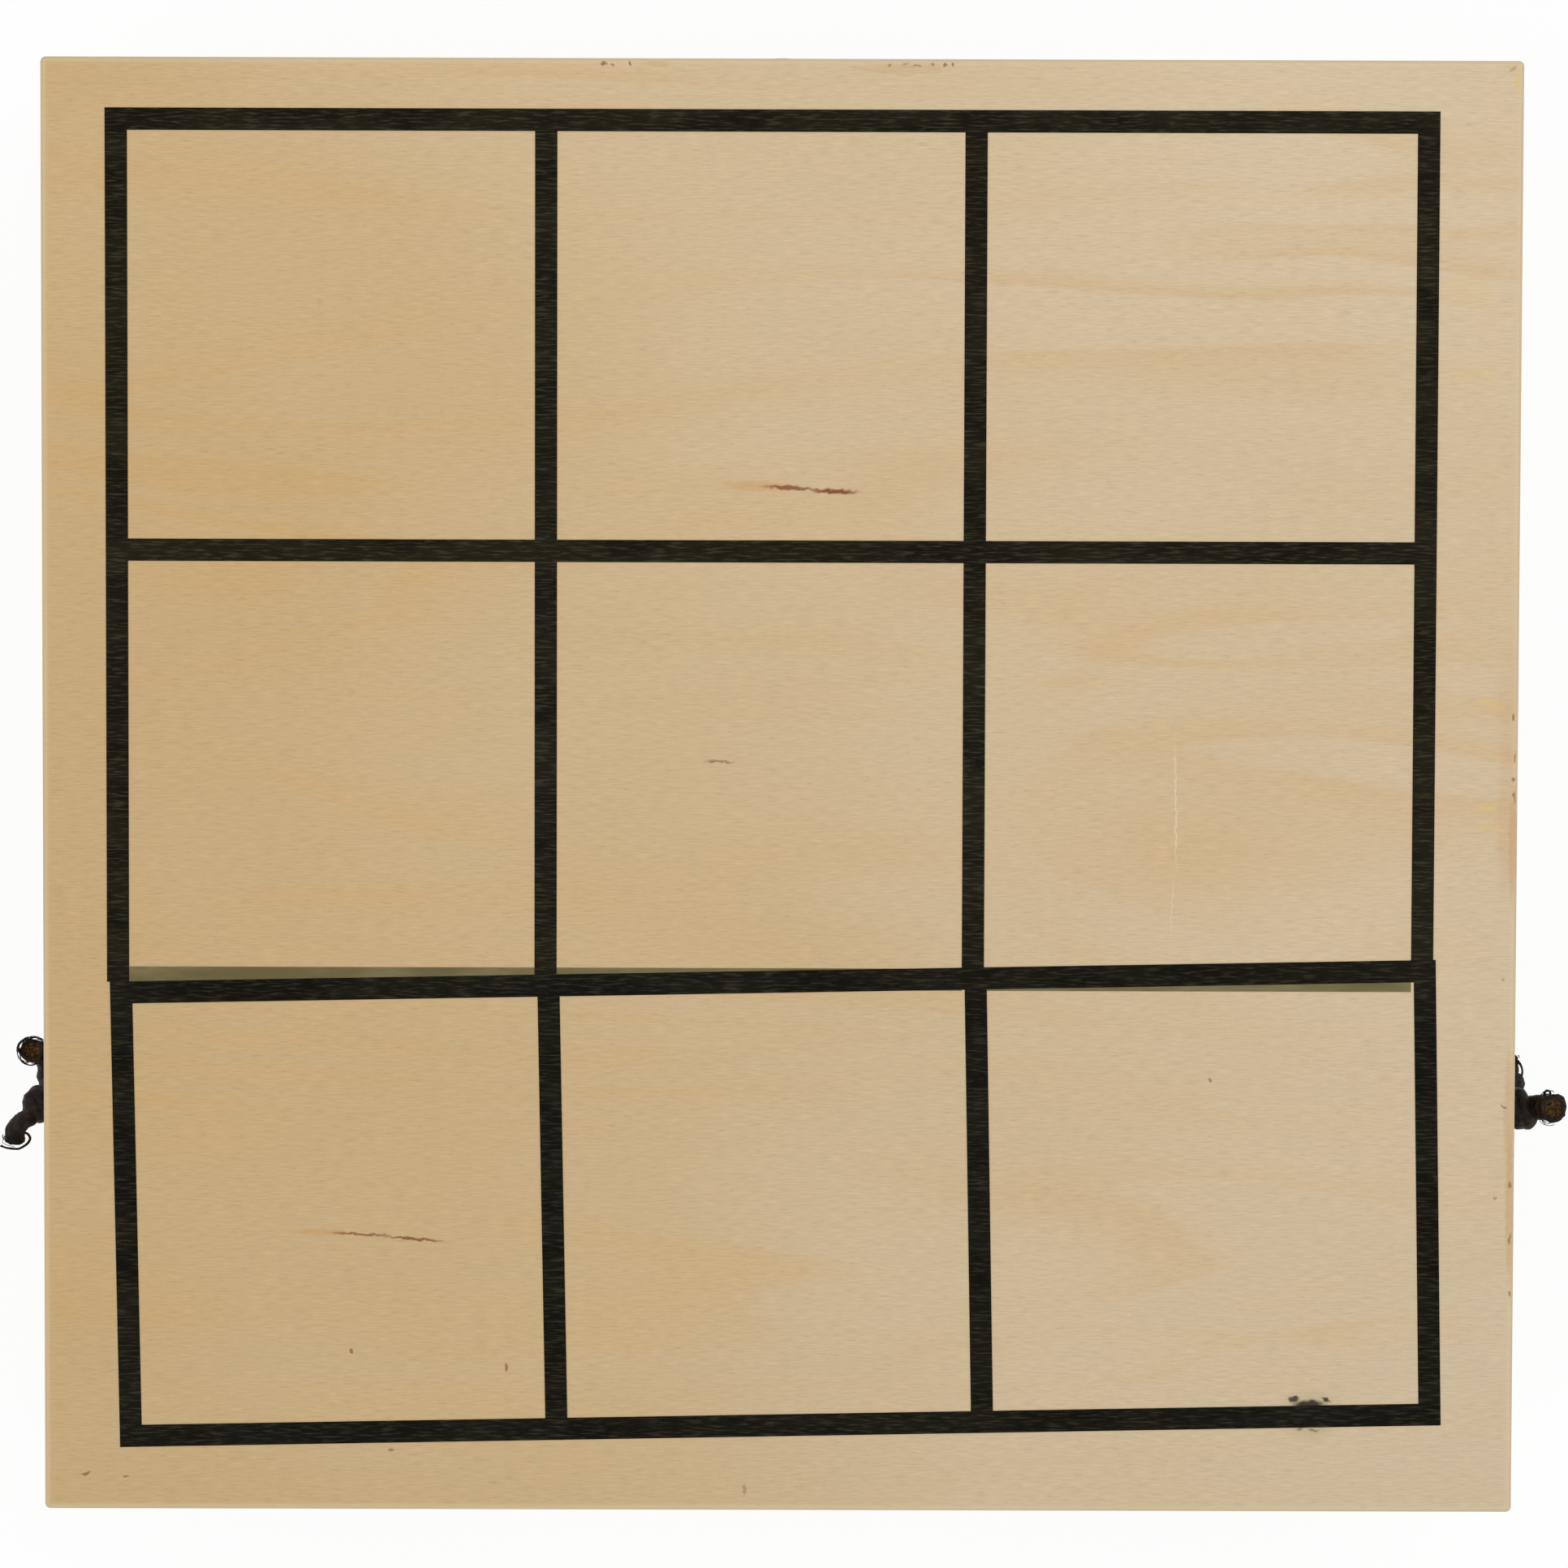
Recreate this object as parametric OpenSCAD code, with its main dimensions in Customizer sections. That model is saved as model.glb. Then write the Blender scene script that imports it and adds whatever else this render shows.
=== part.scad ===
// Square wooden game box: a hinged lid over a tray, leather cord lid stays, a small hook latch,
// a three by three grid printed on the lid, a morris board under the base, and its men inside.
// Millimetres, +Z up. The origin is the centre of the underside. The hinges are at -Y, the latch at +Y.

/* [Box] */
// Width of the box, left to right
box_w = 200; // [190:1:240]
// Depth of the box, latch side to hinge side
box_d = 197; // [190:1:240]
// Height of the base, from its underside to the parting plane
base_h = 26; // [24:1:40]
// Height of the lid, from the parting plane to its top face
lid_h = 26; // [24:1:40]
// Thickness of the solid wood rails
rail_t = 8; // [7:0.5:10]
// Thickness of the plywood panels
panel_t = 4; // [3:0.5:5]
// Rounding of the upright corners
corner_r = 0.8; // [0.6:0.1:3]
// Bevel sanded along the outer panel edges
arris = 0.4; // [0.2:0.1:0.8]
// Fingers in each corner joint
fingers = 3; // [3:2:5]

/* [Printed grid on the lid] */
// Width of every printed line
line_w = 3; // [2:0.5:5]
// Spacing of the first two columns and rows
cell = 58; // [50:0.5:58]
// Spacing of the last column
last_col = 61; // [50:0.5:61]
// Spacing of the last row
last_row = 60.6; // [50:0.1:61]
// Left edge of the lid to the middle of the first upright line
print_left = 10.2; // [6:0.1:14]
// Latch side edge of the lid to the middle of the first cross line
print_top = 8.35; // [5:0.05:14]
// Angle by which the lower pull of the print is turned
pull_turn = 1.1; // [0:0.1:2]
// How far the lower pull sits to the right of the upper one
pull_right = 0.4; // [0:0.1:1]
// How far the lower pull sits below the upper one
pull_down = 2.05; // [1:0.05:2.4]
// Thickness of the ink film
ink_t = 0.08; // [0.05:0.01:0.2]

/* [Morris board under the base] */
// Side of the outer square, between line centres
morris_side = 174; // [150:1:176]
// Step from one square to the next, on each side
morris_step = 28; // [20:1:32]
// Width of the board's lines
morris_line = 2.4; // [1.5:0.1:4]
// Diameter of the points
morris_dot = 8; // [5:0.5:12]
// Depth that the ink lies in the panel
morris_depth = 0.12; // [0.1:0.01:0.3]
// How far the ink stays above the resting face
morris_shy = 0.02; // [0.01:0.01:0.05]

/* [Tray] */
// Thickness of the divider
divider_t = 5; // [3:0.5:8]
// Height of the divider above the floor
divider_h = 14; // [8:1:18]
// Depth of the bay for the men, latch side to divider
bay_d = 35.5; // [35.5:0.5:60]

/* [Men] */
// Diameter of a man
man_d = 16; // [12:0.5:16]
// Height of a man
man_h = 6; // [4:0.5:9]
// Men of each colour
man_count = 9; // [3:1:9]
// Gap between neighbours
man_gap = 1.5; // [0.5:0.5:1.5]
// Gap between the first row and the latch side's rail
row_gap = 1; // [0.5:0.5:1.5]
// Bevel round a man's edges
man_bevel = 0.8; // [0.3:0.1:1.2]
// Width of the ring turned in a man's face
man_ring = 1.4; // [0.8:0.1:2]
// Depth of that ring
man_ring_depth = 0.5; // [0.2:0.1:0.8]

/* [Hinges] */
// Distance of each hinge from the middle
hinge_x = 58; // [30:1:70]
// Length of a hinge along its pin
hinge_w = 28; // [20:1:40]
// Height of a leaf from the pin's axis
leaf_h = 13; // [11:0.5:16]
// Thickness of a leaf
leaf_t = 0.9; // [0.5:0.1:1.1]
// Radius of the barrel
barrel_r = 1.6; // [1.3:0.1:2]
// Radius of the pin
pin_r = 0.8; // [0.4:0.05:0.9]
// Gap between the barrel and the wood
barrel_gap = 0.3; // [0.2:0.05:0.5]
// Running clearance of a pin or pivot, all round
run_gap = 0.05; // [0.02:0.01:0.1]
// Gap between neighbouring knuckles
knuckle_gap = 0.15; // [0.1:0.05:0.3]
// Half the distance between the screws of a leaf
screw_x = 8.5; // [5:0.5:9]
// Height of the screws from the pin's axis
screw_z = 7.5; // [6:0.5:8]

/* [Screws] */
// Radius of a hinge screw's head
head_r = 1.7; // [1.3:0.1:2]
// Radius of a hinge screw's shank
shank_r = 0.85; // [0.6:0.05:1]
// Length of every shank in the wood
shank_l = 5.5; // [4:0.5:6]
// Width of the slot in a head
slot_w = 0.4; // [0.3:0.1:0.6]
// Depth of the slot in a head
slot_depth = 0.35; // [0.2:0.05:0.5]

/* [Latch] */
// Height of the pivot above the parting plane
pivot_up = 6; // [5:0.5:12]
// Depth of the stud below the parting plane
stud_down = 10; // [7:0.5:12]
// Width of the hook's arm
hook_w = 4.4; // [4:0.1:5]
// Thickness of the hook
hook_t = 1; // [0.8:0.1:1.6]
// Radius of the eye round the pivot
eye_r = 3.2; // [2.6:0.1:4]
// Radius of the hook's end
hook_end_r = 3.4; // [3:0.1:4]
// Radius of the finger tab
tab_r = 1.7; // [1.2:0.1:2.4]
// Radius of the pivot screw and of the stud
pivot_r = 1.2; // [1:0.1:1.5]
// Gap between the stud and the hook's mouth
mouth_gap = 0.3; // [0.2:0.05:0.5]
// Radius of the pivot's and the stud's heads
knob_r = 2.3; // [2:0.1:2.8]
// Thickness of those heads
knob_t = 0.55; // [0.5:0.05:1]
// Thickness of the washer under the hook
washer_t = 0.3; // [0.2:0.1:0.8]

/* [Lid stays] */
// Diameter of the leather cord
cord_d = 2.8; // [2:0.1:3]
// Gap between the cord and its hole, all round
cord_gap = 0.2; // [0.1:0.05:0.4]
// Hinge side edge of the box to the stay holes
stay_y = 54.5; // [45:0.5:70]
// Height of the lid's stay hole above the parting plane, and of the base's below it
stay_z = 6.5; // [5:0.5:8]
// Radius of a knot
knot_r = 3; // [2.8:0.1:4]

/* [Hidden] */

box_h = base_h + lid_h;
lid_floor = box_h - panel_t;
tray_w = box_w - 2 * rail_t;
tray_d = box_d - 2 * rail_t;
latch_y = box_d / 2;
back_y = -box_d / 2;
hole_y = back_y + stay_y;
hinge_y = back_y - barrel_gap - barrel_r;
knuckle_l = hinge_w / 3;
pilot_gap = 0.05;
over = 1;
round_fn = 48;
small_fn = 32;
tube_fn = 8;

birch = [0.82, 0.70, 0.50];
beech = [0.78, 0.62, 0.42];
ink = [0.10, 0.10, 0.09];
faint_ink = [0.46, 0.42, 0.28];
brass = [0.72, 0.56, 0.28];
leather = [0.09, 0.06, 0.05];
dark_wood = [0.24, 0.14, 0.09];
light_wood = [0.86, 0.74, 0.54];

// Outline of the box seen from above
module plan() {
    square([box_w - 2 * corner_r, box_d], center = true);
    square([box_w, box_d - 2 * corner_r], center = true);
    for (x = [-1, 1], y = [-1, 1])
        translate([x * (box_w / 2 - corner_r), y * (box_d / 2 - corner_r)])
            circle(corner_r, $fn = small_fn);
}

module block(low, high) translate([0, 0, low]) linear_extrude(high - low) plan();

// Four bars whose corners cut a bevel round the outline at height z
module edge_bars(z) {
    bar = arris * sqrt(2);
    for (s = [-1, 1]) {
        translate([0, s * box_d / 2, z]) rotate([45, 0, 0])
            cube([box_w + 2 * over, bar, bar], center = true);
        translate([s * box_w / 2, 0, z]) rotate([0, 45, 0])
            cube([bar, box_d + 2 * over, bar], center = true);
    }
}

// Heights of the fingers that belong to the side rails, above the rail's own foot
function side_fingers(h) = [for (i = [1 : 2 : fingers - 1]) i * h / fingers];

// A rail along the latch side (side = 1) or the hinge side (side = -1)
module long_rail(side, low, high) {
    h = high - low;
    intersection() {
        block(low, high);
        difference() {
            translate([-box_w / 2, side > 0 ? latch_y - rail_t : back_y, low]) cube([box_w, rail_t, h]);
            for (x = [-1, 1], z = side_fingers(h))
                translate([x * (box_w - rail_t) / 2, side * (box_d - rail_t) / 2, low + z + h / fingers / 2])
                    cube([rail_t, rail_t + 2 * over, h / fingers], center = true);
        }
    }
}

// A rail along the left (side = -1) or the right (side = 1), with the stay's hole at hole_z
module side_rail(side, low, high, hole_z) {
    h = high - low;
    mid_x = side * (box_w / 2 - rail_t / 2);
    difference() {
        intersection() {
            block(low, high);
            union() {
                translate([mid_x, 0, low + h / 2]) cube([rail_t, tray_d, h], center = true);
                for (z = side_fingers(h))
                    translate([mid_x, 0, low + z + h / fingers / 2])
                        cube([rail_t, box_d, h / fingers], center = true);
            }
        }
        translate([mid_x, hole_y, hole_z]) rotate([0, 90, 0])
            cylinder(r = cord_d / 2 + cord_gap, h = rail_t + 2 * over, center = true, $fn = small_fn);
    }
}

module lid_panel() color(birch) difference() {
    block(lid_floor, box_h);
    edge_bars(box_h);
}

module base_panel() color(birch) difference() {
    block(0, panel_t);
    edge_bars(0);
    translate([0, 0, -over]) linear_extrude(over + morris_depth) morris_lines();
}

module lid_latch_rail() color(beech) difference() {
    long_rail(1, base_h, lid_floor);
    latch_hole(pivot_z);
}

module base_latch_rail() color(beech) difference() {
    long_rail(1, panel_t, base_h);
    latch_hole(stud_z);
}

module lid_hinge_rail() color(beech) difference() {
    long_rail(-1, base_h, lid_floor);
    leaf_screws(1, pilot_gap, false);
}

module base_hinge_rail() color(beech) difference() {
    long_rail(-1, panel_t, base_h);
    leaf_screws(-1, pilot_gap, false);
}

module lid_left_rail() color(beech) side_rail(-1, base_h, lid_floor, base_h + stay_z);
module lid_right_rail() color(beech) side_rail(1, base_h, lid_floor, base_h + stay_z);
module base_left_rail() color(beech) side_rail(-1, panel_t, base_h, base_h - stay_z);
module base_right_rail() color(beech) side_rail(1, panel_t, base_h, base_h - stay_z);

module tray_divider() color(beech)
    translate([-tray_w / 2, latch_y - rail_t - bay_d - divider_t, panel_t])
        cube([tray_w, divider_t, divider_h]);

// The print's own columns, measured from its first upright line
columns = [0, cell, 2 * cell, 2 * cell + last_col];
print_x = -box_w / 2 + print_left;
print_y = latch_y - print_top;
third_line_y = print_y - 2 * cell;

// Upright lines from y = low to y = high, at the print's columns
module uprights(low, high) for (x = columns)
    translate([x - line_w / 2, low]) square([line_w, high - low]);

// One cross line at y
module crossing(y) translate([-line_w / 2, y - line_w / 2]) square([columns[3] + line_w, line_w]);

module upper_lines() translate([print_x, print_y]) {
    uprights(-2 * cell - line_w / 2, line_w / 2);
    crossing(0);
    crossing(-cell);
}

// Where the lower pull lies: its corner is the third cross line's left end
module as_lower_pull()
    translate([print_x + pull_right, third_line_y - pull_down]) rotate(pull_turn) children();

module lower_lines() as_lower_pull() {
    uprights(-last_row - line_w / 2, line_w / 2);
    crossing(0);
    crossing(-last_row);
}

// The upper pull ends at the lower one's first cross line
module grid_upper_pull() color(ink) translate([0, 0, box_h]) linear_extrude(ink_t) difference() {
    upper_lines();
    as_lower_pull() translate([-cell / 2, line_w / 2 - cell]) square([columns[3] + cell, cell]);
}

module grid_lower_pull() color(ink) translate([0, 0, box_h]) linear_extrude(ink_t) lower_lines();

// The upper pull's third cross line, faint, where no other line covers it
module grid_ghost() color(faint_ink) translate([0, 0, box_h]) linear_extrude(ink_t / 2) difference() {
    translate([print_x, print_y]) crossing(-2 * cell);
    upper_lines();
    lower_lines();
}

// Half sides of the three squares
morris_halves = [for (i = [0 : 2]) morris_side / 2 - i * morris_step];

module morris_lines() {
    for (half = morris_halves) difference() {
        square(2 * half + morris_line, center = true);
        square(2 * half - morris_line, center = true);
    }
    for (turn = [0 : 90 : 270]) rotate(turn)
        translate([morris_halves[2], -morris_line / 2])
            square([morris_halves[0] - morris_halves[2], morris_line]);
    for (half = morris_halves, x = [-1 : 1], y = [-1 : 1])
        if (x != 0 || y != 0)
            translate([x * half, y * half]) circle(d = morris_dot, $fn = small_fn);
}

module morris_board() color(ink)
    translate([0, 0, morris_shy]) linear_extrude(morris_depth - morris_shy) morris_lines();

// Both hinges, each drawn at the middle of the hinge side
module at_hinges() for (x = [-hinge_x, hinge_x]) translate([x, 0, 0]) children();

module on_pin(x, length, r) translate([x, hinge_y, base_h]) rotate([0, 90, 0])
    cylinder(r = r, h = length, center = true, $fn = round_fn);

// A plate against the wood, from near to far along z on the lid's (side = 1) or the base's side
module plate(side, x, length, near, far)
    translate([x - length / 2, back_y - leaf_t, side > 0 ? base_h + near : base_h - far])
        cube([length, leaf_t, far - near]);

// Leaves of both hinges: the lid's (side = 1) has the middle knuckle, the base's the outer two
module leaves(side) difference() {
    at_hinges() {
        plate(side, 0, hinge_w, barrel_r + barrel_gap, leaf_h);
        for (x = side > 0 ? [0] : [-knuckle_l, knuckle_l]) {
            plate(side, x, knuckle_l - 2 * knuckle_gap, 0, barrel_r + 2 * barrel_gap);
            on_pin(x, knuckle_l - 2 * knuckle_gap, barrel_r);
        }
    }
    at_hinges() on_pin(0, hinge_w + 2 * over, pin_r + run_gap);
    leaf_screws(side, 0, false);
}

// Hinge screws, or with a gap the holes for them. Their heads fill the leaves' countersinks.
module leaf_screws(side, gap, slots) at_hinges() for (x = [-screw_x, screw_x])
    translate([x, back_y, base_h + side * screw_z]) rotate([-90, 0, 0]) difference() {
        union() {
            translate([0, 0, -leaf_t]) cylinder(r1 = head_r, r2 = shank_r, h = leaf_t, $fn = small_fn);
            cylinder(r = shank_r + gap, h = shank_l + 2 * gap, $fn = small_fn);
        }
        if (slots) translate([0, 0, -leaf_t]) rotate(30 + 50 * x / screw_x)
            cube([2 * head_r + over, slot_w, 2 * slot_depth], center = true);
    }

module hinge_lid_leaves() color(brass) leaves(1);
module hinge_base_leaves() color(brass) leaves(-1);
module hinge_lid_screws() color(brass) leaf_screws(1, 0, true);
module hinge_base_screws() color(brass) leaf_screws(-1, 0, true);

module hinge_pins() color(brass) at_hinges() {
    head = (pin_r + barrel_r) / 2;
    head_t = pin_r / 2;
    on_pin(0, hinge_w, pin_r);
    for (s = [-1, 1]) on_pin(s * (hinge_w / 2 - knuckle_gap + head_t / 2), head_t, head);
}

hook_l = pivot_up + stud_down;
mouth_r = pivot_r + mouth_gap;
pivot_z = base_h + pivot_up;
stud_z = base_h - stud_down;

// Hole for the pivot screw or the stud in a rail of the latch side
module latch_hole(z) translate([0, latch_y, z]) rotate([90, 0, 0])
    cylinder(r = pivot_r + pilot_gap, h = 2 * (shank_l + pilot_gap), center = true, $fn = small_fn);

// Outline of the hook from its pivot along +X, with its mouth towards +Y
module hook_outline() difference() {
    union() {
        circle(eye_r, $fn = round_fn);
        translate([0, -hook_w / 2]) square([hook_l, hook_w]);
        translate([hook_l, 0]) circle(hook_end_r, $fn = round_fn);
        translate([hook_l, -tab_r / 2]) square([hook_end_r + tab_r, tab_r]);
        translate([hook_l + hook_end_r + tab_r, 0]) circle(tab_r, $fn = small_fn);
    }
    circle(pivot_r + run_gap, $fn = small_fn);
    translate([hook_l, 0]) circle(mouth_r, $fn = small_fn);
    translate([hook_l - mouth_r, 0]) square([2 * mouth_r, hook_end_r + over]);
}

// The hook swung aside, with its mouth down
module latch_hook() color(brass)
    translate([0, latch_y + washer_t + run_gap, pivot_z]) rotate([-90, 0, 0])
        linear_extrude(hook_t) hook_outline();

// A round shank that stands out of the latch side by reach, with a slotted head on it
module headed_pin(z, reach) translate([0, latch_y, z]) rotate([-90, 0, 0]) {
    translate([0, 0, -shank_l]) cylinder(r = pivot_r, h = shank_l + reach, $fn = small_fn);
    translate([0, 0, reach]) difference() {
        cylinder(r1 = knob_r, r2 = knob_r - knob_t / 2, h = knob_t, $fn = round_fn);
        translate([0, 0, knob_t]) rotate(25)
            cube([2 * knob_r + over, slot_w, 2 * slot_depth], center = true);
    }
}

module latch_pivot_screw() color(brass)
    headed_pin(pivot_z, washer_t + hook_t + 2 * run_gap);

module latch_stud() color(brass)
    headed_pin(stud_z, washer_t + hook_t + mouth_gap);

module latch_washer() color(brass)
    translate([0, latch_y, pivot_z]) rotate([-90, 0, 0]) difference() {
        cylinder(r = knob_r, h = washer_t, $fn = round_fn);
        translate([0, 0, -over]) cylinder(r = pivot_r + pilot_gap, h = washer_t + 2 * over, $fn = small_fn);
    }

function unit(v) = v / norm(v);
function midway(a, b, c, d, t) = 0.5 * (2 * b + (c - a) * t + (2 * a - 5 * b + 4 * c - d) * t * t
    + (3 * b - a - 3 * c + d) * t * t * t);

// A smooth line through points, with steps pieces between neighbours
function smooth(p, steps) = concat(
    [for (i = [0 : len(p) - 2], s = [0 : steps - 1])
        midway(p[max(i - 1, 0)], p[i], p[i + 1], p[min(i + 2, len(p) - 1)], s / steps)],
    [p[len(p) - 1]]);

function headings(p) = [for (i = [0 : len(p) - 1])
    unit(p[min(i + 1, len(p) - 1)] - p[max(i - 1, 0)])];

// Directions square to the line that turn as little as they can from one point to the next
function carried(t, start, i = 0, done = []) = i == len(t) ? done :
    let (last = i == 0 ? start : done[i - 1], n = unit(last - (last * t[i]) * t[i]))
    carried(t, start, i + 1, concat(done, [n]));

// A tube of radii r along the points of line
module tube(line, r) {
    t = headings(line);
    n = carried(t, [0.1, 0.2, 1]);
    last = len(line) - 1;
    rings = [for (i = [0 : last], k = [0 : tube_fn - 1])
        let (a = 360 * k / tube_fn, radius = is_list(r) ? r[i] : r)
        line[i] + radius * (cos(a) * n[i] + sin(a) * cross(t[i], n[i]))];
    sides = [for (i = [0 : last - 1], k = [0 : tube_fn - 1])
        let (a = i * tube_fn + k, b = i * tube_fn + (k + 1) % tube_fn)
        [[a, a + tube_fn, b], [b, a + tube_fn, b + tube_fn]]];
    polyhedron(rings, concat(
        [for (pair = sides, f = pair) f],
        [[for (k = [0 : tube_fn - 1]) k]],
        [[for (k = [tube_fn - 1 : -1 : 0]) last * tube_fn + k]]), convexity = 6);
}

// Route of a stay from its base hole to its lid hole. Each point is the distance inwards from the
// outer face of the wall, from the holes towards the hinges, and above the parting plane.
stay_route = [
    [0, 0, -6.5], [4, 0, -6.5], [8.5, 0, -6.5], [11.3, 0.8, -6.7], [13.4, 2.9, -7.2], [14.2, 5.8, -8.4],
    [14.3, 9.2, -10.6], [14, 13.5, -13.6], [13.5, 19.5, -16.8], [13.2, 26, -18.4], [13, 32.5, -17.2],
    [13.1, 37, -12.8], [13.2, 38.5, -6.6], [13.2, 36.8, -0.6], [13.1, 32, 4], [13.2, 25, 7],
    [13.7, 18, 8.2], [14.2, 12.5, 8.2], [14.3, 9, 7.8], [14.2, 5.8, 7.4], [13.4, 2.9, 6.9],
    [11.3, 0.8, 6.6], [8.5, 0, 6.5], [4, 0, 6.5], [0, 0, 6.5]
];

// The left stay's middle line in the part's frame
stay_line = smooth([for (p = stay_route) [p[0] - box_w / 2, hole_y - p[1], base_h + p[2]]], 2);

module left_stay_cord() color(leather) tube(stay_line, cord_d / 2);
module right_stay_cord() color(leather) mirror([1, 0, 0]) tube(stay_line, cord_d / 2);

// A knot against the outer wall at hole_y + aside, with its free end along the points of tail.
// The points are distances out from the wall, along +Y from the hole and above the hole.
module knot(side, hole_z, aside, tail) {
    seat = 0.9 * knot_r;
    // A winding tighter than the cord's own radius would cross its axis and not be built
    wind = max(0.5 * knot_r, cord_d / 2 + 0.1);
    difference() {
        translate([side * box_w / 2, hole_y, hole_z]) {
            translate([side * seat, aside, 0]) sphere(0.86 * knot_r, $fn = small_fn);
            translate([side * seat, aside, 0]) rotate([30, 0, 35 * side])
                rotate_extrude($fn = small_fn) translate([wind, 0]) circle(cord_d / 2, $fn = 16);
            tube(smooth([for (p = tail) [side * p[0], p[1], p[2]]], 3), cord_d / 2);
        }
        translate([side * (box_w / 2 - 2 * knot_r), hole_y, hole_z]) cube(4 * knot_r, center = true);
    }
}

// Free ends of the four knots
left_lid_tail = [[2.4, -1.4, 0.6], [4.8, -2.8, 1], [6.4, -4.6, 0.8], [7.2, -6.4, 0]];
left_base_tail = [[2.4, 1.4, 0], [4.4, 3.4, 0.8], [5.6, 5, 2.6], [5.9, 5.4, 5]];
right_lid_tail = [[2.4, -1.6, 0], [5, -1.4, 0.4], [7, -0.9, 1.8], [7.7, -0.8, 4.4]];
right_base_tail = [[2.4, 1.4, 0], [3.8, 2.4, -0.4], [4.4, 3.5, -0.6], [4.4, 4.5, -0.4]];

module left_lid_knot() color(leather) knot(-1, base_h + stay_z, -1.3, left_lid_tail);
module left_base_knot() color(leather) knot(-1, base_h - stay_z, 1, left_base_tail);
module right_lid_knot() color(leather) knot(1, base_h + stay_z, -1.9, right_lid_tail);
module right_base_knot() color(leather) knot(1, base_h - stay_z, 1.1, right_base_tail);

// A turned man with bevelled edges and a ring in its upper face
module man() {
    r = man_d / 2;
    ring = r - 2.2 * man_bevel;
    rotate_extrude($fn = round_fn) polygon([
        [0, 0], [r - man_bevel, 0], [r, man_bevel], [r, man_h - man_bevel], [r - man_bevel, man_h],
        [ring, man_h], [ring - man_ring / 3, man_h - man_ring_depth],
        [ring - 2 * man_ring / 3, man_h - man_ring_depth], [ring - man_ring, man_h], [0, man_h]
    ]);
}

// A row of men on the tray's floor, counted from the latch side's rail
module men_row(row) {
    pitch = man_d + man_gap;
    row_y = latch_y - rail_t - row_gap - man_d / 2 - row * pitch;
    for (i = [0 : man_count - 1])
        translate([(i - (man_count - 1) / 2) * pitch, row_y, panel_t]) man();
}

module light_men() color(light_wood) men_row(1);
module dark_men() color(dark_wood) men_row(0);

lid_panel();
lid_latch_rail();
lid_hinge_rail();
lid_left_rail();
lid_right_rail();
base_panel();
base_latch_rail();
base_hinge_rail();
base_left_rail();
base_right_rail();
tray_divider();
grid_upper_pull();
grid_lower_pull();
grid_ghost();
morris_board();
hinge_lid_leaves();
hinge_base_leaves();
hinge_pins();
hinge_lid_screws();
hinge_base_screws();
latch_hook();
latch_pivot_screw();
latch_washer();
latch_stud();
left_lid_knot();
left_base_knot();
left_stay_cord();
right_lid_knot();
right_base_knot();
right_stay_cord();
light_men();
dark_men();
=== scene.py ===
"""Square wooden game box with a printed lid, leather cord lid stays, brass hinges and a hook latch.

Metres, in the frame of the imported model: +Z up, the hinges at -Y, the latch at +Y, the origin at the
centre of the underside. The camera looks down on the lid as in the photograph, with +Y at the top.
"""
import math
import random

import bpy
import bmesh
from mathutils import Matrix, Vector, noise


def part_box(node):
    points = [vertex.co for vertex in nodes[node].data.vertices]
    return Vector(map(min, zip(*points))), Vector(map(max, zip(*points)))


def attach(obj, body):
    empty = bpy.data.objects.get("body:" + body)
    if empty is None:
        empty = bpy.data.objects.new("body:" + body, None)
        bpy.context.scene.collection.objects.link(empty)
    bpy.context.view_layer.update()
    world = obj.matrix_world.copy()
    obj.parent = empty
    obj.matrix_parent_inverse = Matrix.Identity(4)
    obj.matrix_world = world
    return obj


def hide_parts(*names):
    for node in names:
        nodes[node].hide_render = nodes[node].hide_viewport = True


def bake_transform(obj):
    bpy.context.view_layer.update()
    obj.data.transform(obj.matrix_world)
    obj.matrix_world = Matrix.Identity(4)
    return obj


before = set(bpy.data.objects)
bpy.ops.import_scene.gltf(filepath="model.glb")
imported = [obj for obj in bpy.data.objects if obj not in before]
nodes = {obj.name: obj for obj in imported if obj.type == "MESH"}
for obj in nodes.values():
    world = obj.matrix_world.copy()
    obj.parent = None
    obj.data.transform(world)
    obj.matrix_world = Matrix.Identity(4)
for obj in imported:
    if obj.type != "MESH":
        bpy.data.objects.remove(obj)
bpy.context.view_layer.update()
scene = bpy.context.scene
MM = 0.001

# Sizes, read from the frame
lid_low, lid_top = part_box("lid_panel")
base_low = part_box("base_panel")[0]
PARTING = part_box("lid_latch_rail")[0].z
HALF_W = lid_top.x
HALF_D = lid_top.y
PANEL_T = lid_top.z - lid_low.z
CORD_R = 1.4 * MM
# The same cord where a knot pulls it tight
KNOT_CORD_R = 1.3 * MM

# The photograph's camera: where it stands above the lid, how it leans, its focal length and the
# photograph's width, both in the photograph's own pixels, and the sensor's width in millimetres
CAMERA_AT = Vector((-0.7 * MM, 28.04 * MM, lid_top.z + 0.65))
CAMERA_ROLL = math.radians(-0.1705)
CAMERA_TILT_X = math.radians(2.4099)
CAMERA_TILT_Y = math.radians(0.1052)
FOCAL_PIXELS = 5914.5
PHOTO_PIXELS = 1932
SENSOR_WIDTH = 36


def make_camera():
    data = bpy.data.cameras.new("photo_camera")
    data.sensor_width = SENSOR_WIDTH
    data.lens = SENSOR_WIDTH * FOCAL_PIXELS / PHOTO_PIXELS
    camera = bpy.data.objects.new("photo_camera", data)
    scene.collection.objects.link(camera)
    lean = (
        Matrix.Rotation(CAMERA_ROLL, 4, "Z")
        @ Matrix.Rotation(CAMERA_TILT_X, 4, "X")
        @ Matrix.Rotation(CAMERA_TILT_Y, 4, "Y")
    )
    camera.matrix_world = Matrix.Translation(CAMERA_AT) @ lean.transposed()
    scene.camera = camera


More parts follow.
